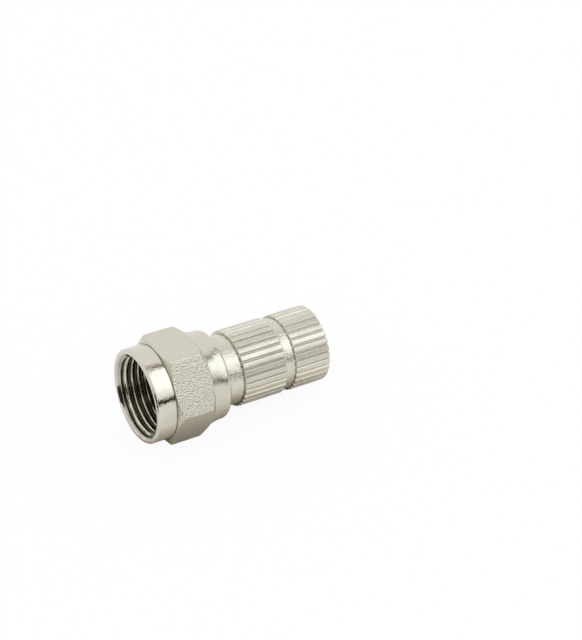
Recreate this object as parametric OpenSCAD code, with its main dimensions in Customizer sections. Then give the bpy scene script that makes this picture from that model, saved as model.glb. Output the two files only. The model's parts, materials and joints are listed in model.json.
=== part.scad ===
// Twist-on F connector for coaxial cable: a hexagonal coupling nut that spins freely,
// held on a knurled body by a lip rolled in behind the body's front flange.
// Both pieces are drawn on one axis, with z measured from the mouth of the nut towards
// the cable end, and the finished connector is then laid down on one hexagon flat.

/* [Coupling thread and mouth] */
// Bore of the coupling thread at its crests, 3/8-32 UNEF
thread_bore_d = 8.75; // [8.6:0.05:8.9]
// Radial width of the 45 degree countersink at the mouth
mouth_countersink = 0.6; // [0.3:0.02:0.7]

/* [Coupling nut] */
// Wall of the round front collar, from its outside to the thread crests
collar_wall = 1.11; // [0.9:0.01:1.15]
// Length of the collar in front of the hexagon
collar_len = 2.35; // [1.5:0.05:4]
// Chamfer on the collar's front rim
collar_chamfer = 0.16; // [0.05:0.01:0.25]
// Distance between opposite flats of the hexagon, for a 7/16 inch spanner
across_flats = 11.1; // [11:0.05:12]
// Length of the hexagon, from the collar to the foot of the skirt
hex_len = 4.75; // [3:0.05:5.5]
// Slope of the domed chamfer on the hexagon's front corners, from the plane across the axis
front_chamfer_angle = 21; // [10:1:35]
// Slope of the domed chamfer on its rear corners
rear_chamfer_angle = 38; // [15:1:45]
// Step from the hexagon's flats down to the foot of the skirt
skirt_step = 0.09; // [0.04:0.01:0.2]
// Length of the skirt behind the hexagon, with its rolled lip
skirt_len = 2.35; // [2.1:0.05:4]
// Thickness of the skirt where its lip is bent, and of the lip
skirt_wall = 0.46; // [0.4:0.02:0.6]

/* [Body] */
// Diameter of the plain neck behind the nut
neck_d = 8.16; // [7.8:0.02:8.4]
// Length of the neck, from the back of the flange to the knurl
neck_len = 2.66; // [1.6:0.02:4]
// Diameter of the flange that the nut's lip holds captive
flange_d = 9.3; // [9.2:0.05:9.6]
// Thickness of the flange
flange_len = 1.4; // [0.9:0.05:2]
// Thickness of the wall that closes the front of the cable bore
front_wall = 1.5; // [0.8:0.05:2.5]

/* [Knurl] */
// Diameter over the ribs
knurl_d = 8.92; // [8.6:0.02:9.2]
// Number of ribs around the body
knurl_count = 32; // [24:1:40]
// Depth of the channels between the ribs
knurl_depth = 0.22; // [0.12:0.01:0.28]
// Width of each channel at the top of the ribs
channel_w = 0.34; // [0.3:0.01:0.5]
// Half of the angle between the two sides of a channel
channel_half_angle = 30; // [15:1:35]
// Length of the knurled band next to the neck
front_band_len = 5.37; // [3:0.01:8]
// Width of the plain groove between the two bands
groove_w = 1.25; // [0.6:0.01:2]
// Depth of that groove below the ribs
groove_depth = 0.28; // [0.15:0.01:0.35]
// Length of the knurled band at the cable end
rear_band_len = 4.47; // [3:0.01:8]
// Radius on the ends of the ribs
rib_end_r = 0.18; // [0.08:0.01:0.25]

/* [Cable bore] */
// Bore for the cable's jacket, at the crests of its coarse thread
cable_bore_d = 6.4; // [6:0.05:6.8]
// Radial width of the 45 degree countersink at the cable end
cable_countersink = 0.42; // [0.2:0.02:0.5]
// Hole in the front wall for the cable's dielectric
dielectric_hole_d = 4.9; // [4.6:0.05:5.4]

/* [Clearances] */
// Radial running clearance of the flange in the nut, kept round the lip as well
running_clearance = 0.08; // [0.03:0.01:0.1]
// Radial clearance between the neck and the lip's edge
lip_clearance = 0.17; // [0.1:0.01:0.25]
// Clearance in front of the flange
end_clearance = 0.25; // [0.1:0.05:0.6]
// Radial clearance of the flange's flat front, where the port bears, inside the thread crests
seat_clearance = 0.08; // [0.05:0.01:0.15]

/* [Hidden] */
$fn = 96;

nickel = [0.80, 0.79, 0.76];
satin_nickel = [0.76, 0.74, 0.70];

// How far a cutting shape passes the face that it opens
overrun = 1;

// Radii of the nut and the body, from the axis outwards
thread_r = thread_bore_d / 2;
collar_r = thread_r + collar_wall;
neck_r = neck_d / 2;
flange_r = flange_d / 2;
lip_r = neck_r + lip_clearance;
cavity_r = flange_r + running_clearance;
skirt_r = cavity_r + skirt_wall;
flat_r = across_flats / 2;
corner_r = flat_r / cos(30);
foot_r = flat_r - skirt_step;
knurl_r = knurl_d / 2;
cable_r = cable_bore_d / 2;
dielectric_r = dielectric_hole_d / 2;

// The lip is a quarter turn of the skirt's wall, and the flange's edge follows inside it
lip_outer_bend = skirt_r - lip_r;
lip_inner_bend = cavity_r - lip_r;
flange_edge_r = flange_r - lip_r;

// Flat front of the flange, inside a 45 degree chamfer
seat_r = thread_r - seat_clearance;
seat_chamfer = flange_r - seat_r;

// Stations along the axis, from the mouth of the nut
hex_front = collar_len;
hex_back = hex_front + hex_len;
nut_end = hex_back + skirt_len;
bend_station = nut_end - lip_outer_bend;
flange_back = bend_station + flange_edge_r;
flange_front = flange_back - flange_len;
cavity_front = flange_front - end_clearance;
front_band_start = flange_back + neck_len;
groove_start = front_band_start + front_band_len;
rear_band_start = groove_start + groove_w;
body_end = rear_band_start + rear_band_len;
cable_bore_front = flange_front + front_wall;

// Each chamfer is part of a sphere that passes through the edge of the collar or the foot of
// the skirt, and has the named slope half way from there to the corners. The flats run from
// one sphere to the other.
front_dome_r = (collar_r + corner_r) / 2 / sin(front_chamfer_angle);
front_dome_centre = hex_front + sqrt(pow(front_dome_r, 2) - pow(collar_r, 2));
rear_dome_r = (foot_r + corner_r) / 2 / sin(rear_chamfer_angle);
rear_dome_centre = hex_back - sqrt(pow(rear_dome_r, 2) - pow(foot_r, 2));
flat_end = rear_dome_centre + sqrt(pow(rear_dome_r, 2) - pow(flat_r, 2));

// At rest the nut stands on the back edge of one flat and the body on the end of one rib.
// The tilt is the slope of the line that touches that edge and the rib's rounded end.
rib_round_r = knurl_r - rib_end_r;
rib_round_station = body_end - rib_end_r;
drop = flat_r - rib_round_r;
run = rib_round_station - flat_end;
tilt = acos(rib_end_r / norm([drop, run])) - atan2(run, drop);
axis_height = flat_r * cos(tilt) + flat_end * sin(tilt);
front_reach = (collar_r - collar_chamfer) * sin(tilt);
back_reach = rib_round_station * cos(tilt) + rib_round_r * sin(tilt) + rib_end_r;
middle = (back_reach - front_reach) / 2;

// Collar, tapering skirt and rolled lip as one turned outline, radius across and station
// upwards. Collar and skirt meet inside the hexagon.
module nut_outline() {
    polygon([
        [0, 0],
        [collar_r - collar_chamfer, 0],
        [collar_r, collar_chamfer],
        [collar_r, hex_front + hex_len / 2],
        [foot_r, hex_front + hex_len / 2],
        [foot_r, hex_back],
        [skirt_r, bend_station],
        [lip_r, bend_station],
        [lip_r, nut_end],
        [0, nut_end]
    ]);
    quarter_round(lip_outer_bend);
}

// Quarter disc of the lip, centred on the lip's edge where the bend begins
module quarter_round(r) {
    intersection() {
        translate([lip_r, bend_station]) circle(r = r);
        translate([lip_r, bend_station]) square(r);
    }
}

// Turned space inside the nut: countersink, thread bore, flange cavity and lip opening
module nut_space() {
    polygon([
        [0, -overrun],
        [thread_r + mouth_countersink + overrun, -overrun],
        [thread_r, mouth_countersink],
        [thread_r, cavity_front],
        [cavity_r, cavity_front],
        [cavity_r, bend_station],
        [lip_r, bend_station],
        [lip_r, nut_end + overrun],
        [0, nut_end + overrun]
    ]);
    quarter_round(lip_inner_bend);
}

// Hexagon with a domed chamfer on its front corners and a steeper one on its rear corners
module chamfered_hexagon() {
    intersection() {
        translate([0, 0, hex_front]) rotate(30) cylinder(r = corner_r, h = hex_len, $fn = 6);
        translate([0, 0, front_dome_centre]) sphere(r = front_dome_r);
        translate([0, 0, rear_dome_centre]) sphere(r = rear_dome_r);
    }
}

module coupling_nut() {
    color(nickel) lie_down() difference() {
        union() {
            rotate_extrude() nut_outline();
            chamfered_hexagon();
        }
        rotate_extrude() nut_space();
    }
}

// Flange, neck and core of the body as one turned outline. The core runs on inside the
// knurl at the neck's diameter.
module body_outline() {
    polygon([
        [0, flange_front],
        [seat_r, flange_front],
        [flange_r, flange_front + seat_chamfer],
        [flange_r, bend_station],
        [lip_r, bend_station],
        [lip_r, flange_back],
        [neck_r, flange_back],
        [neck_r, rib_round_station],
        [0, rib_round_station]
    ]);
    quarter_round(flange_edge_r);
}

// Turned envelope of one knurled band, with its outer edges rounded at both ends
module band_envelope(start, length) {
    straight = length - 2 * rib_end_r;
    translate([0, start]) square([rib_round_r, length]);
    translate([0, start + rib_end_r]) square([knurl_r, straight]);
    for (end = [start + rib_end_r, start + length - rib_end_r])
        translate([rib_round_r, end]) circle(r = rib_end_r);
}

// Section across the ribs, with one rib centred on the x axis
module rib_section() {
    floor_w = channel_w - 2 * knurl_depth * tan(channel_half_angle);
    top_w = channel_w + 2 * overrun * tan(channel_half_angle);
    pitch_angle = 360 / knurl_count;
    difference() {
        circle(r = knurl_r + rib_end_r);
        for (i = [0 : knurl_count - 1])
            rotate((i + 0.5) * pitch_angle) polygon([
                [knurl_r - knurl_depth, -floor_w / 2],
                [knurl_r + overrun, -top_w / 2],
                [knurl_r + overrun, top_w / 2],
                [knurl_r - knurl_depth, floor_w / 2]
            ]);
    }
}

// Two bands of straight coarse knurl, cut through by a plain groove
module knurl() {
    groove_r = knurl_r - groove_depth;
    intersection() {
        translate([0, 0, front_band_start])
            linear_extrude(height = body_end - front_band_start) rib_section();
        rotate_extrude() {
            band_envelope(front_band_start, front_band_len);
            band_envelope(rear_band_start, rear_band_len);
            translate([0, groove_start]) square([groove_r, groove_w]);
        }
    }
}

// Cable bore with its countersink, and the smaller hole through the front wall
module cable_space() {
    mouth_r = cable_r + cable_countersink;
    translate([0, 0, flange_front - overrun])
        cylinder(r = dielectric_r, h = front_wall + 2 * overrun);
    translate([0, 0, cable_bore_front])
        cylinder(r = cable_r, h = body_end + overrun - cable_bore_front);
    translate([0, 0, body_end - cable_countersink])
        cylinder(r1 = cable_r, r2 = mouth_r + overrun, h = cable_countersink + overrun);
}

module knurled_body() {
    color(satin_nickel) lie_down() difference() {
        union() {
            rotate_extrude() body_outline();
            knurl();
        }
        cable_space();
    }
}

// Lays the axis along +x with the mouth towards -x, and lowers the cable end until the
// connector touches the ground, with the middle of its length over the origin
module lie_down() {
    translate([-middle, 0, axis_height]) rotate([0, 90 + tilt, 0]) children();
}

coupling_nut();
knurled_body();
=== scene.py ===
import json
from math import atan2, cos, pi, radians, sin, tan

import bmesh
import bpy
import numpy as np
from mathutils import Matrix, Vector

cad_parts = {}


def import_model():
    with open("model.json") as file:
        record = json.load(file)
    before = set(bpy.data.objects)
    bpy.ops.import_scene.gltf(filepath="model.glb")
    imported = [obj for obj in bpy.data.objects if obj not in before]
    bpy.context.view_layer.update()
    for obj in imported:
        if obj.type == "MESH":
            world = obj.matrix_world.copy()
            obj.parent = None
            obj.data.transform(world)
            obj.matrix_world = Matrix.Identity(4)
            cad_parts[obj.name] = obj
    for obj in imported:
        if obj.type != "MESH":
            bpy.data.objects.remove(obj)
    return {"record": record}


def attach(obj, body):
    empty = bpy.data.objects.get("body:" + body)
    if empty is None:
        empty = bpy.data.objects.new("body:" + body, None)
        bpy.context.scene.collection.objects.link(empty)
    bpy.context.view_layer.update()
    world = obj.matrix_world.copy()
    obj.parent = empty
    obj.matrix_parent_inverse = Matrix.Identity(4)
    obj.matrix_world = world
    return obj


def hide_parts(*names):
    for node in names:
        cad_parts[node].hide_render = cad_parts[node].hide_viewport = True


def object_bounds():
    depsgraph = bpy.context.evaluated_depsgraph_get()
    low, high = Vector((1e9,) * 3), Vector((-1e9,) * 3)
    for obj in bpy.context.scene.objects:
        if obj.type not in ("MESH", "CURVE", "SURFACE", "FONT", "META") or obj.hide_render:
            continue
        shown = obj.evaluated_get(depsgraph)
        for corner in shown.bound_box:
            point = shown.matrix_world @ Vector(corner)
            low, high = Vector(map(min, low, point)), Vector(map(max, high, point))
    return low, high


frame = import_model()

MM = 0.001

# ---------------------------------------------------------------- places from the frame

cad_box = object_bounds()
part_centre = (Vector(cad_box[0]) + Vector(cad_box[1])) / 2
mounts = {mount["name"]: mount for mount in frame["record"]["mounts"]}
coupling_thread = mounts["coupling_thread"]
cable_bore = mounts["cable_bore"]
dielectric_hole = mounts["dielectric_hole"]

# Sizes of the turned forms, as in the part's source
MOUTH_COUNTERSINK = 0.6 * MM
COLLAR_WALL = 1.11 * MM
COLLAR_LEN = 2.35 * MM
COLLAR_CHAMFER = 0.16 * MM
ACROSS_FLATS = 11.1 * MM
HEX_LEN = 4.75 * MM
FRONT_CHAMFER_ANGLE = radians(21)
REAR_CHAMFER_ANGLE = radians(38)
SKIRT_STEP = 0.09 * MM
SKIRT_LEN = 2.35 * MM
SKIRT_WALL = 0.46 * MM
NECK_R = 4.08 * MM
NECK_LEN = 2.66 * MM
FLANGE_R = 4.65 * MM
KNURL_R = 4.46 * MM
KNURL_COUNT = 32
KNURL_DEPTH = 0.22 * MM
CHANNEL_W = 0.34 * MM
CHANNEL_HALF_ANGLE = radians(30)
FRONT_BAND_LEN = 5.37 * MM
GROOVE_W = 1.25 * MM
GROOVE_DEPTH = 0.28 * MM
REAR_BAND_LEN = 4.47 * MM
RIB_END_R = 0.18 * MM
CABLE_COUNTERSINK = 0.42 * MM
RUNNING_CLEARANCE = 0.08 * MM
LIP_CLEARANCE = 0.17 * MM
END_CLEARANCE = 0.25 * MM
SEAT_CLEARANCE = 0.08 * MM

# The two threads, which the solids leave out: the nut's has 32 turns to the inch. The shares
# are the parts of the pitch that are flat. The wall behind the nut's thread starts at the
# runout depth, just outside the roots.
NUT_PITCH = 0.794 * MM
NUT_THREAD_DEPTH = 0.3875 * MM
NUT_CREST_SHARE = 0.26
NUT_ROOT_SHARE = 0.14
NUT_RUNOUT_DEPTH = 0.42 * MM
CABLE_PITCH = 1.25 * MM
CABLE_THREAD_DEPTH = 0.4 * MM
CABLE_CREST_SHARE = 0.18
CABLE_ROOT_SHARE = 0.34

# The relief line round the collar, in front of the hexagon, and the flat floor of it
RELIEF_LEN = 0.1 * MM
RELIEF_FLOOR_LEN = 0.06 * MM
RELIEF_DEPTH = 0.04 * MM

# Small roundings of the edges, which the solids leave sharp
EDGE_ROUND = 0.05 * MM
RIM_ROUND = 0.06 * MM
RELIEF_ROUND = 0.02 * MM
FLAT_END_ROUND = 0.12 * MM
SKIRT_BEND_ROUND = 0.5 * MM
LIP_EDGE_ROUND = 0.03 * MM
BAND_FOOT_ROUND = 0.04 * MM
CHANNEL_FLOOR_ROUND = 0.04 * MM
RIB_EDGE_ROUND = 0.05 * MM

# Steps of the larger arcs
LIP_STEPS = 12
CAVITY_STEPS = 8
FLANGE_STEPS = 6

# How far the flange's finish runs on over the neck
NECK_LEAD = 0.1 * MM

# The most of a side that one rounding takes, so that two on one side never meet
SIDE_SHARE = 0.45

# Points of the meshes that are nearer than this are one point
WELD = 0.0004 * MM

# The axis, from the mouth of the nut to the cable end, and the two directions across it
AXIS = Vector(cable_bore["axis"]).normalized()
SIDE = Vector((0, 1, 0))
UNDER = SIDE.cross(AXIS)
SLOPE = atan2(-AXIS.z, AXIS.x)

thread_r = coupling_thread["dims"]["r_mm"] * MM
cable_r = cable_bore["dims"]["r_mm"] * MM
dielectric_r = dielectric_hole["dims"]["r_mm"] * MM
thread_len = coupling_thread["dims"]["length_mm"] * MM
MOUTH = Vector(coupling_thread["pos_m"]) - AXIS * (thread_len / 2 + MOUTH_COUNTERSINK)

collar_r = thread_r + COLLAR_WALL
nut_mouth_r = thread_r + MOUTH_COUNTERSINK
lip_r = NECK_R + LIP_CLEARANCE
seat_r = thread_r - SEAT_CLEARANCE
cavity_r = FLANGE_R + RUNNING_CLEARANCE
skirt_r = cavity_r + SKIRT_WALL
flat_r = ACROSS_FLATS / 2
corner_r = flat_r / cos(pi / 6)
foot_r = flat_r - SKIRT_STEP
channel_r = KNURL_R - KNURL_DEPTH
groove_r = KNURL_R - GROOVE_DEPTH
cable_mouth_r = cable_r + CABLE_COUNTERSINK

# Stations along the axis, from the mouth
hex_front = COLLAR_LEN
hex_back = hex_front + HEX_LEN
nut_end = hex_back + SKIRT_LEN
bend_station = nut_end - (skirt_r - lip_r)
flange_back = bend_station + FLANGE_R - lip_r
neck_start = flange_back + NECK_LEAD
cavity_front = MOUTH_COUNTERSINK + thread_len
flange_front = cavity_front + END_CLEARANCE
front_band_start = flange_back + NECK_LEN
groove_start = front_band_start + FRONT_BAND_LEN
rear_band_start = groove_start + GROOVE_W
body_end = rear_band_start + REAR_BAND_LEN
cable_bore_front = flange_front + dielectric_hole["dims"]["length_mm"] * MM


# ---------------------------------------------------------------- outlines and meshes

def softened(corners, steps=4):
    """Rounds the corners of an open outline with true arcs.

    Each corner is (station, radius, size): the arc starts and ends that far from the corner,
    or nearer where a side is short. A fourth value is that arc's own count of steps. Stations
    and radii may be arrays, with one value for each direction round the axis. Returns the
    stations and radii of the rounded outline, by rows.
    """
    points = [np.stack(np.broadcast_arrays(*corner[:2]), -1).astype(float) for corner in corners]
    points = np.broadcast_arrays(*points)
    rows = [points[0]]
    for before, here, after, corner in zip(points, points[1:], points[2:], corners[1:]):
        back = before - here
        on = after - here
        back_len = np.maximum(np.linalg.norm(back, axis=-1, keepdims=True), 1e-9)
        on_len = np.maximum(np.linalg.norm(on, axis=-1, keepdims=True), 1e-9)
        cut = np.minimum(corner[2], SIDE_SHARE * np.minimum(back_len, on_len))
        start = here + back / back_len * cut
        end = here + on / on_len * cut
        turn = -(back * on).sum(-1, keepdims=True) / (back_len * on_len)
        weight = np.sqrt(np.clip((1 + turn) / 2, 0, 1))
        count = corner[3] if len(corner) > 3 else steps
        for t in np.linspace(0, 1, count + 1):
            pull = 2 * t * (1 - t) * weight
            share = (1 - t) ** 2 + pull + t ** 2
            rows.append(((1 - t) ** 2 * start + pull * here + t ** 2 * end) / share)
    rows.append(points[-1])
    return [row[..., 0] for row in rows], [row[..., 1] for row in rows]


def helical_rows(start, end, pitch, crest_r, depth, crest_share, root_share, angles):
    """Stations and radii of the rows that follow an internal right-hand thread from start to
    end, along its crests, flanks and roots. The two shares are those of the pitch that the
    flat crest and the flat root take."""
    half_open = (1 - crest_share) / 2
    flank = half_open - root_share / 2
    phases = [0, 0.5 - half_open, 0.5 - half_open + flank / 2, 0.5 - half_open + flank]
    phases += [0.5, 0.5 + half_open - flank, 0.5 + half_open - flank / 2, 0.5 + half_open]
    turns = int(abs(end - start) / pitch) + 2
    lead = angles / (2 * pi)
    direction = 1 if end > start else -1
    stations = []
    radii = []
    for turn in range(-1, turns):
        for phase in phases:
            reach = (turn + phase + direction * lead) * pitch
            station = start + direction * np.clip(reach, 0, abs(end - start))
            cycle = np.mod(abs(station - start) / pitch - direction * lead, 1)
            open_share = np.clip((half_open - abs(cycle - 0.5)) / flank, 0, 1)
            stations.append(station)
            radii.append(crest_r + depth * open_share)
    return stations, radii


def countersunk(rows, mouth_r, face):
    """The same rows, opened by a 45 degree cone that is mouth_r wide at the bore's face."""
    stations, radii = rows
    cone_radii = [mouth_r - abs(face - station) for station in stations]
    return stations, [np.maximum(radius, cone) for radius, cone in zip(radii, cone_radii)]


def turned_mesh(name, outline, angles):
    """A mesh piece whose rows run round the axis. outline is a list of parts, each a material
    and the stations and radii of its rows, and the last row closes onto the first."""
    stations = []
    radii = []
    row_material = []
    materials = []
    for material, part_stations, part_radii in outline:
        if material not in materials:
            materials.append(material)
        for station, radius in zip(part_stations, part_radii):
            stations.append(np.broadcast_to(station, angles.shape))
            radii.append(np.broadcast_to(radius, angles.shape))
            row_material.append(materials.index(material))
    station = np.array(stations)[..., None]
    radius = np.array(radii)[..., None]
    across = np.cos(angles)[:, None] * np.array(UNDER) + np.sin(angles)[:, None] * np.array(SIDE)
    points = np.array(MOUTH) + station * np.array(AXIS) + radius * across
    rows, columns = points.shape[:2]
    faces = []
    face_material = []
    for row in range(rows):
        next_row = (row + 1) % rows
        for column in range(columns):
            next_column = (column + 1) % columns
            faces.append((row * columns + column, row * columns + next_column,
                          next_row * columns + next_column, next_row * columns + column))
            face_material.append(row_material[row])
    mesh = bpy.data.meshes.new(name)
    mesh.from_pydata(points.reshape(-1, 3).tolist(), [], faces)
    for material in materials:
        mesh.materials.append(material)
    mesh.polygons.foreach_set("material_index", face_material)
    mesh.polygons.foreach_set("use_smooth", [True] * len(faces))
    shell = bmesh.new()
    shell.from_mesh(mesh)
    bmesh.ops.remove_doubles(shell, verts=shell.verts, dist=WELD)
    bmesh.ops.recalc_face_normals(shell, faces=shell.faces)
    shell.to_mesh(mesh)
    shell.free()
    piece = bpy.data.objects.new(name, mesh)
    bpy.context.collection.objects.link(piece)
    level = piece.modifiers.new("level_normals", "WEIGHTED_NORMAL")
    level.keep_sharp = True
    return piece


# ---------------------------------------------------------------- materials

class Finish:
    """A metal material, with the nodes that its grain, tone and gloss are made of."""

    def __init__(self, name):
        self.material = bpy.data.materials.new(name)
        self.material.use_nodes = True
        self.nodes = self.material.node_tree.nodes
        self.links = self.material.node_tree.links
        self.shader = self.nodes["Principled BSDF"]
        self.shader.inputs["Metallic"].default_value = 1
        self.place = self.nodes.new("ShaderNodeTexCoord").outputs["Object"]

    def turned_place(self, along=1, around=1, lean=0):
        """Places measured from the mouth: along the axis, and the two ways across it. They are
        divided by along and around, and lean turns them, which slants the grain."""
        turn = self.nodes.new("ShaderNodeMapping")
        turn.vector_type = "TEXTURE"
        turn.inputs["Location"].default_value = MOUTH
        turn.inputs["Rotation"].default_value = (0, SLOPE + lean, lean)
        turn.inputs["Scale"].default_value = (along, around, around)
        self.links.new(self.place, turn.inputs["Vector"])
        return turn.outputs["Vector"]

    def noise(self, size, detail=3, along=1, around=1, lean=0):
        """Uneven grain of that size, drawn out along or around the part's axis."""
        texture = self.nodes.new("ShaderNodeTexNoise")
        texture.inputs["Scale"].default_value = 1
        texture.inputs["Detail"].default_value = detail
        place = self.turned_place(size * along, size * around, lean)
        self.links.new(place, texture.inputs["Vector"])
        return texture.outputs["Fac"]

    def station(self):
        """How far along the axis each place is from the mouth."""
        parts = self.nodes.new("ShaderNodeSeparateXYZ")
        self.links.new(self.turned_place(), parts.inputs[0])
        return parts.outputs["X"]

    def radius(self):
        """How far each place is from the axis."""
        across = self.nodes.new("ShaderNodeVectorMath")
        across.operation = "MULTIPLY"
        across.inputs[1].default_value = (0, 1, 1)
        length = self.nodes.new("ShaderNodeVectorMath")
        length.operation = "LENGTH"
        self.links.new(self.turned_place(), across.inputs[0])
        self.links.new(across.outputs["Vector"], length.inputs[0])
        return length.outputs["Value"]

    def spread(self, value, low, high, start=0.3, end=0.7):
        """The value's range from start to end, drawn out from low to high."""
        node = self.nodes.new("ShaderNodeMapRange")
        node.inputs["From Min"].default_value = start
        node.inputs["From Max"].default_value = end
        node.inputs["To Min"].default_value = low
        node.inputs["To Max"].default_value = high
        self.links.new(value, node.inputs["Value"])
        return node.outputs["Result"]

    def combine(self, operation, first, second):
        """One value from two, by that operation."""
        node = self.nodes.new("ShaderNodeMath")
        node.operation = operation
        self.links.new(first, node.inputs[0])
        self.links.new(second, node.inputs[1])
        return node.outputs[0]

    def mix(self, value, low, high):
        """From the low colour to the high one, as the value goes from 0 to 1."""
        node = self.nodes.new("ShaderNodeMix")
        node.data_type = "RGBA"
        for name, colour in (("A", low), ("B", high)):
            if isinstance(colour, tuple):
                node.inputs[name].default_value = (*colour, 1)
            else:
                self.links.new(colour, node.inputs[name])
        self.links.new(value, node.inputs["Factor"])
        return node.outputs["Result"]

    def tone(self, value, low, high, reach=0.3 * MM, shut=0.42, clear=0.88):
        """Colours the metal between two tones, with painted shade in its corners and channels,
        where ambient occlusion finds them. It is all painted shade where a place is shut in, and
        has none where it is clear."""
        # Painted shade: ambient occlusion darkens shut-in corners and channels towards a dark
        # colour
        corners = self.nodes.new("ShaderNodeAmbientOcclusion")
        corners.samples = 8
        corners.only_local = True
        corners.inputs["Distance"].default_value = reach
        open_share = self.spread(corners.outputs["AO"], 0, 1, shut, clear)
        unshaded = self.mix(value, low, high)
        self.links.new(self.mix(open_share, CORNER_SHADE, unshaded), self.shader.inputs["Base Color"])

    def gloss(self, value):
        """Sets the roughness."""
        self.links.new(value, self.shader.inputs["Roughness"])

    def relief(self, height, depth, below=None):
        """Bumps of that depth, on top of any given before."""
        node = self.nodes.new("ShaderNodeBump")
        node.inputs["Distance"].default_value = depth
        self.links.new(height, node.inputs["Height"])
        if below is not None:
            self.links.new(below, node.inputs["Normal"])
        self.links.new(node.outputs["Normal"], self.shader.inputs["Normal"])
        return node.outputs["Normal"]


def shade(colour, share):
    """The colour, lighter or darker by that share."""
    return tuple(channel * share for channel in colour)


# The plating, the painted shade in its corners and channels, and the brown painted shade of the
# threads' roots and deep bores
NICKEL = (0.665, 0.632, 0.535)
CORNER_SHADE = (0.13, 0.11, 0.078)
ROOT_SHADE_BROWN = (0.06, 0.042, 0.022)


def bright_nickel(name, polished, dull):
    """Bright plating: fine turned lines round the axis, cloudy wipe marks and small pits.
    polished and dull are the roughness of its clear and its wiped patches."""
    finish = Finish(name)
    clouds = finish.noise(1.6 * MM, detail=4)
    lines = finish.noise(0.05 * MM, detail=2, around=60)
    pits = finish.noise(0.16 * MM, detail=2)
    waves = finish.noise(0.9 * MM, detail=2)
    finish.tone(finish.spread(clouds, 0, 1), shade(NICKEL, 0.93), shade(NICKEL, 1.03))
    wiped = finish.spread(clouds, polished, dull, start=0.35, end=0.7)
    worn = finish.spread(pits, 0, 0.14, start=0.6, end=0.8)
    finish.gloss(finish.combine("ADD", wiped, worn))
    lined = finish.relief(lines, depth=0.003 * MM)
    wavy = finish.relief(waves, depth=0.03 * MM, below=lined)
    finish.relief(pits, depth=0.01 * MM, below=wavy)
    return finish.material


def blasted_nickel():
    """The hexagon: plating over a blasted surface, with shallow dents and ridges."""
    finish = Finish("blasted_nickel")
    dents = finish.noise(0.18 * MM, detail=4, along=1.3)
    grain = finish.noise(0.09 * MM, detail=3)
    clouds = finish.noise(2.4 * MM, detail=3)
    finish.tone(finish.spread(dents, 0, 1), shade(NICKEL, 0.9), shade(NICKEL, 1.01))
    finish.gloss(finish.spread(clouds, 0.1, 0.2))
    dented = finish.relief(dents, depth=0.048 * MM)
    finish.relief(grain, depth=0.012 * MM, below=dented)
    return finish.material


def satin_nickel():
    """The knurl and flange: satin plating with a fine grain, drawn out along the ribs."""
    finish = Finish("satin_nickel")
    drawn = finish.noise(0.09 * MM, detail=3, along=6)
    grain = finish.noise(0.17 * MM, detail=4)
    clouds = finish.noise(1.3 * MM, detail=4)
    dark = shade(NICKEL, 0.9)
    light = shade(NICKEL, 1.06)
    # Painted shade in the knurl's channels, milder than on the other finishes
    finish.tone(finish.spread(grain, 0, 1), dark, light, shut=-0.5, clear=0.75)
    finish.gloss(finish.spread(clouds, 0.26, 0.38))
    rolled = finish.relief(drawn, depth=0.012 * MM)
    finish.relief(grain, depth=0.024 * MM, below=rolled)
    return finish.material


def turned_nickel():
    """The neck and the groove: turned lines under the plating, with slanting scratches."""
    finish = Finish("turned_nickel")
    lines = finish.noise(0.06 * MM, detail=2, around=40)
    scratches = finish.noise(0.2 * MM, detail=3, along=5, lean=0.8)
    clouds = finish.noise(0.7 * MM, detail=4)
    finish.tone(finish.spread(clouds, 0, 1), shade(NICKEL, 0.94), shade(NICKEL, 1.06))
    finish.gloss(finish.spread(clouds, 0.08, 0.2))
    lined = finish.relief(lines, depth=0.003 * MM)
    finish.relief(scratches, depth=0.06 * MM, below=lined)
    return finish.material


def thread_nickel(name, unshaded_r, depth, mouth, inside, far_inside):
    """A threaded bore: bright on its crests, out to unshaded_r, and brown with painted shade in
    the roots, over that depth. The painted shade sets in from the station mouth to inside, and
    from there to far_inside it spreads over the crests."""
    finish = Finish(name)
    clouds = finish.noise(1.1 * MM, detail=4)
    lines = finish.noise(0.07 * MM, detail=2, around=30)
    # Painted shade: the roots go dark brown, and deeper in the bore the crests do too
    root = finish.spread(finish.radius(), 0, 1, start=unshaded_r, end=unshaded_r + depth)
    deep = finish.spread(finish.station(), 0, 1, start=mouth, end=inside)
    uneven = finish.spread(clouds, 0, 0.4, start=0.45, end=0.7)
    roots = finish.combine("MULTIPLY", finish.combine("ADD", root, uneven), deep)
    crests = finish.spread(finish.station(), 0, 0.9, start=inside, end=far_inside)
    brown = finish.combine("ADD", roots, crests)
    finish.tone(brown, shade(NICKEL, 1.06), ROOT_SHADE_BROWN)
    finish.gloss(finish.spread(clouds, 0.05, 0.13))
    finish.relief(lines, depth=0.006 * MM)
    return finish.material


collar_finish = bright_nickel("polished_nickel", polished=0.04, dull=0.12)
skirt_finish = bright_nickel("wiped_nickel", polished=0.16, dull=0.3)
hexagon_finish = blasted_nickel()
knurl_finish = satin_nickel()
neck_finish = turned_nickel()
nut_thread_finish = thread_nickel(
    "nut_threads", unshaded_r=thread_r + 0.14 * MM, depth=0.2 * MM,
    mouth=0, inside=0.6 * MM, far_inside=4.4 * MM)
cable_thread_finish = thread_nickel(
    "cable_threads", unshaded_r=cable_r, depth=0.2 * MM,
    mouth=body_end - 0.15 * MM, inside=body_end - 0.6 * MM, far_inside=body_end - 5 * MM)


# ---------------------------------------------------------------- coupling nut

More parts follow.
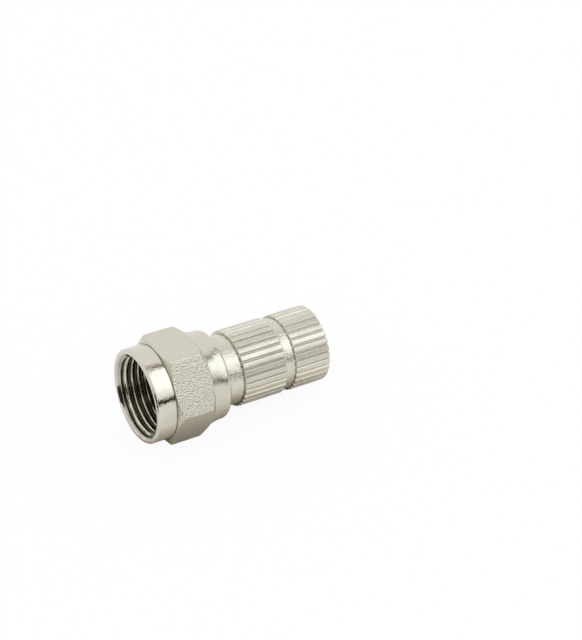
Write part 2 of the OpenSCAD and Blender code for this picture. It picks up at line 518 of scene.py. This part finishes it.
def hexagon_angles(corner_round=0.14 * MM, flat_steps=22, corner_steps=5):
    """Directions round the axis, dense at the hexagon's rounded corners, and its radius in
    each of them."""
    angles = []
    radii = []
    centre_r = (flat_r - corner_round) / cos(pi / 6)
    half_flat = centre_r * sin(pi / 6)
    for corner in range(6):
        middle = (corner + 0.5) * pi / 3
        for across in np.linspace(-half_flat, half_flat, flat_steps, endpoint=False):
            angles.append(middle - pi / 6 + np.arctan2(across, flat_r))
            radii.append(np.hypot(across, flat_r))
        for lean in np.linspace(-pi / 6, pi / 6, corner_steps, endpoint=False):
            x = centre_r + corner_round * cos(lean)
            y = corner_round * sin(lean)
            angles.append(middle + np.arctan2(y, x))
            radii.append(np.hypot(x, y))
    return np.array(angles), np.array(radii)


def dome(foot_station, foot_radius, slope):
    """A function that gives the station, at any radius, of the domed chamfer that starts at
    that foot. The slope is from the plane across the axis, half way to the corners, and
    negative at the front."""
    reach = (foot_radius + corner_r) / 2 / abs(sin(slope))
    turn = 1 if slope > 0 else -1

    def station(radius):
        drop = np.sqrt(reach ** 2 - foot_radius ** 2) - np.sqrt(reach ** 2 - radius ** 2)
        return foot_station - turn * drop

    return station


front_dome = dome(hex_front, collar_r, -FRONT_CHAMFER_ANGLE)
rear_dome = dome(hex_back, foot_r, REAR_CHAMFER_ANGLE)


def dome_middle(station, foot_radius, hex_r):
    """The place on a dome half way from its foot to the hexagon, where two outlines meet."""
    middle_r = (foot_radius + hex_r) / 2
    return station(middle_r), middle_r, 0


def collar_outline(hex_r):
    """The round collar, from the rim of the mouth to the relief line and the front dome."""
    relief_r = collar_r - RELIEF_DEPTH
    return softened([
        (0, nut_mouth_r, 0),
        (0, collar_r - COLLAR_CHAMFER, RIM_ROUND),
        (COLLAR_CHAMFER, collar_r, RIM_ROUND),
        (hex_front - RELIEF_LEN, collar_r, RELIEF_ROUND),
        (hex_front - RELIEF_FLOOR_LEN, relief_r, RELIEF_ROUND),
        (hex_front, relief_r, RELIEF_ROUND),
        (hex_front, collar_r, RELIEF_ROUND / 2),
        dome_middle(front_dome, collar_r, hex_r),
    ])


def hexagon_outline(hex_r):
    """The flats and the outer halves of the domes at their ends."""
    return softened([
        dome_middle(front_dome, collar_r, hex_r),
        (front_dome(hex_r), hex_r, FLAT_END_ROUND),
        (rear_dome(hex_r), hex_r, FLAT_END_ROUND),
        dome_middle(rear_dome, foot_r, hex_r),
    ])


def skirt_outline(hex_r):
    """The tapered skirt, its rolled lip, and the cavity that holds the body's flange."""
    return softened([
        dome_middle(rear_dome, foot_r, hex_r),
        (hex_back, foot_r, EDGE_ROUND),
        (bend_station, skirt_r, SKIRT_BEND_ROUND),
        (nut_end, skirt_r, skirt_r - lip_r, LIP_STEPS),
        (nut_end, lip_r, LIP_EDGE_ROUND),
        (nut_end - SKIRT_WALL, lip_r, LIP_EDGE_ROUND),
        (nut_end - SKIRT_WALL, cavity_r, cavity_r - lip_r, CAVITY_STEPS),
        (cavity_front, cavity_r, EDGE_ROUND),
        (cavity_front, thread_r + NUT_RUNOUT_DEPTH, 0),
    ])


def nut_thread(angles):
    """The coupling thread, from the cavity out to the countersink at the mouth."""
    rows = helical_rows(
        start=cavity_front, end=0, pitch=NUT_PITCH, crest_r=thread_r, depth=NUT_THREAD_DEPTH,
        crest_share=NUT_CREST_SHARE, root_share=NUT_ROOT_SHARE, angles=angles)
    return countersunk(rows, nut_mouth_r, 0)


def coupling_nut():
    """The nut as one closed mesh, which stands for the solid of that name."""
    angles, hex_r = hexagon_angles()
    piece = turned_mesh("nut_shell", [
        (collar_finish, *collar_outline(hex_r)),
        (hexagon_finish, *hexagon_outline(hex_r)),
        (skirt_finish, *skirt_outline(hex_r)),
        (nut_thread_finish, *nut_thread(angles)),
    ], angles)
    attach(piece, "nut")
    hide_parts("coupling_nut")


# ---------------------------------------------------------------- knurled body

def knurl_angles():
    """Directions round the axis, dense at the edges of the channels, and the knurl's radius
    in each of them."""
    pitch = 2 * pi * KNURL_R / KNURL_COUNT
    floor_half = CHANNEL_W / 2 - KNURL_DEPTH * tan(CHANNEL_HALF_ANGLE)
    places, radii = softened([
        (0, channel_r, 0),
        (floor_half, channel_r, CHANNEL_FLOOR_ROUND),
        (CHANNEL_W / 2, KNURL_R, RIB_EDGE_ROUND),
        (pitch / 2, KNURL_R, 0),
    ], steps=2)
    half = np.array(places) / KNURL_R
    radii = np.array(radii)
    one_angle = np.concatenate([half, 2 * half[-1] - half[-2:0:-1]])
    one_radius = np.concatenate([radii, radii[-2:0:-1]])
    starts = (np.arange(KNURL_COUNT) + 0.5) * 2 * pi / KNURL_COUNT
    angles = (starts[:, None] + one_angle[None, :]).ravel()
    return angles, np.tile(one_radius, KNURL_COUNT)


def flange_outline():
    """The flange that the nut's lip holds, with its seat for the socket's face."""
    return softened([
        (flange_front, dielectric_r, 0),
        (flange_front, seat_r, EDGE_ROUND),
        (flange_front + FLANGE_R - seat_r, FLANGE_R, EDGE_ROUND),
        (flange_back, FLANGE_R, FLANGE_R - lip_r, FLANGE_STEPS),
        (flange_back, NECK_R, EDGE_ROUND),
        (neck_start, NECK_R, 0),
    ])


def neck_outline(rib_r):
    """The plain neck, up to half the height of the ribs' ends."""
    return softened([
        (neck_start, NECK_R, 0),
        (front_band_start, NECK_R, BAND_FOOT_ROUND),
        (front_band_start, (NECK_R + rib_r) / 2, 0),
    ])


def front_band_outline(rib_r):
    """The knurled band next to the neck, with the ribs rounded at both ends."""
    return softened([
        (front_band_start, (NECK_R + rib_r) / 2, 0),
        (front_band_start, rib_r, RIB_END_R),
        (groove_start, rib_r, RIB_END_R),
        (groove_start, (groove_r + rib_r) / 2, 0),
    ])


def groove_outline(rib_r):
    """The plain groove between the two bands."""
    return softened([
        (groove_start, (groove_r + rib_r) / 2, 0),
        (groove_start, groove_r, BAND_FOOT_ROUND),
        (rear_band_start, groove_r, BAND_FOOT_ROUND),
        (rear_band_start, (groove_r + rib_r) / 2, 0),
    ])


def rear_band_outline(rib_r):
    """The knurled band at the cable end, and the rim round the cable's opening."""
    return softened([
        (rear_band_start, (groove_r + rib_r) / 2, 0),
        (rear_band_start, rib_r, RIB_END_R),
        (body_end, rib_r, RIB_END_R),
        (body_end, cable_mouth_r + EDGE_ROUND, 0),
    ])


def cable_thread(angles):
    """The coarse thread that grips the cable, from the countersink at the cable end inwards."""
    rows = helical_rows(
        start=body_end, end=cable_bore_front, pitch=CABLE_PITCH, crest_r=cable_r,
        depth=CABLE_THREAD_DEPTH, crest_share=CABLE_CREST_SHARE, root_share=CABLE_ROOT_SHARE,
        angles=angles)
    return countersunk(rows, cable_mouth_r, body_end)


def front_wall_outline():
    """The wall that closes the front of the cable bore, with the dielectric's hole."""
    return softened([
        (cable_bore_front, cable_r, 0),
        (cable_bore_front, dielectric_r, EDGE_ROUND),
        (flange_front, dielectric_r, 0),
    ])


def knurled_body():
    """The body as one closed mesh, which stands for the solid of that name."""
    angles, rib_r = knurl_angles()
    piece = turned_mesh("body_shell", [
        (knurl_finish, *flange_outline()),
        (neck_finish, *neck_outline(rib_r)),
        (knurl_finish, *front_band_outline(rib_r)),
        (neck_finish, *groove_outline(rib_r)),
        (knurl_finish, *rear_band_outline(rib_r)),
        (cable_thread_finish, *cable_thread(angles)),
        (knurl_finish, *front_wall_outline()),
    ], angles)
    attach(piece, "body")
    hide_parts("knurled_body")


# ---------------------------------------------------------------- floor, light and camera

PAPER = (0.9, 0.9, 0.9)

# The lamps are a little cool, and the cards a little warm
LAMP_COLOUR = (0.88, 1, 1.18)
CARD_TINT = (1, 0.95, 0.85)


def white_share(nodes, links, seen, mirrored):
    """How much of the floor shows plain white: one share as seen by the camera, and another
    as mirrored in metal or seen through glass."""
    path = nodes.new("ShaderNodeLightPath")
    shares = {"Is Camera Ray": seen, "Is Glossy Ray": mirrored, "Is Transmission Ray": mirrored}
    parts = []
    for name, share in shares.items():
        part = nodes.new("ShaderNodeMath")
        part.operation = "MULTIPLY"
        part.inputs[1].default_value = share
        links.new(path.outputs[name], part.inputs[0])
        parts.append(part.outputs[0])
    total = parts[0]
    for part in parts[1:]:
        most = nodes.new("ShaderNodeMath")
        most.operation = "MAXIMUM"
        links.new(total, most.inputs[0])
        links.new(part, most.inputs[1])
        total = most.outputs[0]
    return total


def floor():
    """A plain white sheet, much larger than the part, that keeps the part's soft shadow."""
    mesh = bpy.data.meshes.new("floor")
    reach = 3.0
    corners = [(-reach, -reach, 0), (reach, -reach, 0), (reach, reach, 0), (-reach, reach, 0)]
    mesh.from_pydata(corners, [], [(0, 1, 2, 3)])
    sheet = bpy.data.objects.new("floor", mesh)
    bpy.context.collection.objects.link(sheet)
    material = bpy.data.materials.new("floor")
    material.use_nodes = True
    nodes = material.node_tree.nodes
    links = material.node_tree.links
    shader = nodes["Principled BSDF"]
    shader.inputs["Base Color"].default_value = (*PAPER, 1)
    shader.inputs["Roughness"].default_value = 0.9
    shader.inputs["Specular IOR Level"].default_value = 0
    white = nodes.new("ShaderNodeEmission")
    white.inputs["Strength"].default_value = 1
    mix = nodes.new("ShaderNodeMixShader")
    links.new(white_share(nodes, links, seen=0.93, mirrored=0.1), mix.inputs["Fac"])
    links.new(shader.outputs[0], mix.inputs[1])
    links.new(white.outputs[0], mix.inputs[2])
    links.new(mix.outputs[0], nodes["Material Output"].inputs["Surface"])
    mesh.materials.append(material)


def direction(azimuth, elevation):
    """Unit vector from the part towards a place at that azimuth from -Y, towards +X."""
    level = cos(elevation)
    return Vector((level * sin(azimuth), -level * cos(azimuth), sin(elevation)))


def softbox(name, azimuth, elevation, distance, width, height, strength):
    """A soft lamp that faces the middle of the part. Its strength is its surface's radiance."""
    lamp = bpy.data.lights.new(name, "AREA")
    lamp.shape = "RECTANGLE"
    lamp.size = width
    lamp.size_y = height
    lamp.energy = strength * width * height * pi
    lamp.color = LAMP_COLOUR
    box = bpy.data.objects.new(name, lamp)
    bpy.context.collection.objects.link(box)
    towards = direction(radians(azimuth), radians(elevation))
    box.location = part_centre + towards * distance
    box.rotation_euler = (-towards).to_track_quat("-Z", "Y").to_euler()
    box.visible_camera = False


def card(name, tone, points, faces):
    """A card of the studio, grey or dark, which only shows as mirrored in the metal."""
    mesh = bpy.data.meshes.new(name)
    mesh.from_pydata(points, [], faces)
    material = bpy.data.materials.new(name)
    material.use_nodes = True
    shader = material.node_tree.nodes["Principled BSDF"]
    shader.inputs["Base Color"].default_value = (*shade(CARD_TINT, tone), 1)
    shader.inputs["Roughness"].default_value = 1
    shader.inputs["Specular IOR Level"].default_value = 0
    mesh.materials.append(material)
    sheet = bpy.data.objects.new(name, mesh)
    bpy.context.collection.objects.link(sheet)
    sheet.visible_camera = False
    sheet.visible_diffuse = False
    sheet.visible_shadow = False


def band(name, tone, start, end, reach, low_edge, high_edge, steps=18):
    """An upright card that stands round the part, between two azimuths in degrees. reach is
    how far it is from the frame's origin, and its edges are heights, all in metres."""
    points = []
    faces = []
    for step in range(steps + 1):
        towards = direction(radians(start + (end - start) * step / steps), 0)
        for height in (low_edge, high_edge):
            points.append(towards * reach + Vector((0, 0, height)))
    for step in range(steps):
        faces.append((2 * step, 2 * step + 1, 2 * step + 3, 2 * step + 2))
    card(name, tone, points, faces)


def flag(name, tone, corners, distance=0.5):
    """A card between those azimuths and elevations, in degrees as seen from the part."""
    points = [part_centre + direction(radians(azimuth), radians(elevation)) * distance
              for azimuth, elevation in corners]
    card(name, tone, points, [(0, 1, 2, 3)])


def floor_shadow_cards():
    """Four cards under the part, a painted shadow of the floor for its underside to mirror, all
    within 0.1 mm of the sheet. Each is narrower, darker and a little higher than the one before.
    Sizes here are in millimetres."""
    half_length = 13
    for half_width, tone in ((8, 0.88), (6.8, 0.8), (5.6, 0.7), (4.4, 0.6)):
        height = 0.1 - half_width / 100
        corners = [(-half_length, -half_width), (half_length, -half_width),
                   (half_length, half_width), (-half_length, half_width)]
        points = [(x * MM, y * MM, height * MM) for x, y in corners]
        card(f"floor_shadow_card_{half_width:g}", tone, points, [(0, 1, 2, 3)])


def world():
    """Plain white all round."""
    sky = bpy.data.worlds.new("world")
    bpy.context.scene.world = sky
    sky.use_nodes = True
    background = sky.node_tree.nodes["Background"]
    background.inputs["Color"].default_value = (1, 1, 1, 1)
    background.inputs["Strength"].default_value = 1


def camera():
    """Looks down at the mouth side, at the photograph's angle. It is aimed near the cable
    end, so that the part lies left of the middle of the picture, as it does there."""
    aim = part_centre + Vector((9.2, 0.5, 2.39)) * MM
    distance = 231.8 * MM
    towards = direction(azimuth=radians(-29.58), elevation=radians(35))
    roll = radians(-2.49)
    data = bpy.data.cameras.new("camera")
    data.lens = 113.96
    data.sensor_width = 36
    data.clip_start = 0.01
    body = bpy.data.objects.new("camera", data)
    bpy.context.collection.objects.link(body)
    body.location = aim + towards * distance
    level = (-towards).to_track_quat("-Z", "Y").to_matrix()
    body.rotation_euler = (level @ Matrix.Rotation(roll, 3, "Z")).to_euler()
    bpy.context.scene.camera = body


coupling_nut()
knurled_body()
floor()
world()

# Two lamps, on the right as the camera sees the part, and the cards that the metal mirrors
softbox("wide_softbox", azimuth=50, elevation=44, distance=0.6,
        width=0.64, height=0.56, strength=0.3)
softbox("key_softbox", azimuth=53, elevation=47, distance=0.6,
        width=0.5, height=0.44, strength=0.35)
band("dark_room", tone=0.03, start=-15, end=75, reach=1.2, low_edge=0.03, high_edge=0.24)
band("low_card", tone=0.04, start=-101, end=-90, reach=0.036, low_edge=0.0003, high_edge=0.003)
band("mouth_card", tone=0.04, start=-90, end=-62, reach=0.036, low_edge=0.0003, high_edge=0.015)
band("left_card", tone=0.06, start=-142, end=-112, reach=0.06, low_edge=0.002, high_edge=0.01)
flag("side_flag", tone=0.3, corners=[(74, 30), (86, 28), (116, 66), (92, 72)])
flag("camera_flag", tone=0.3, corners=[(-42, 8), (-8, 8), (-8, 44), (-42, 44)])
flag("ceiling_flag", tone=0.25, corners=[(-165, 58), (-165, 84), (-60, 84), (-60, 58)])
# Painted shadow: dark cards for the floor's shadow under the part, seen only as mirrored in the
# metal
floor_shadow_cards()
camera()

bpy.context.scene.view_settings.view_transform = "Standard"
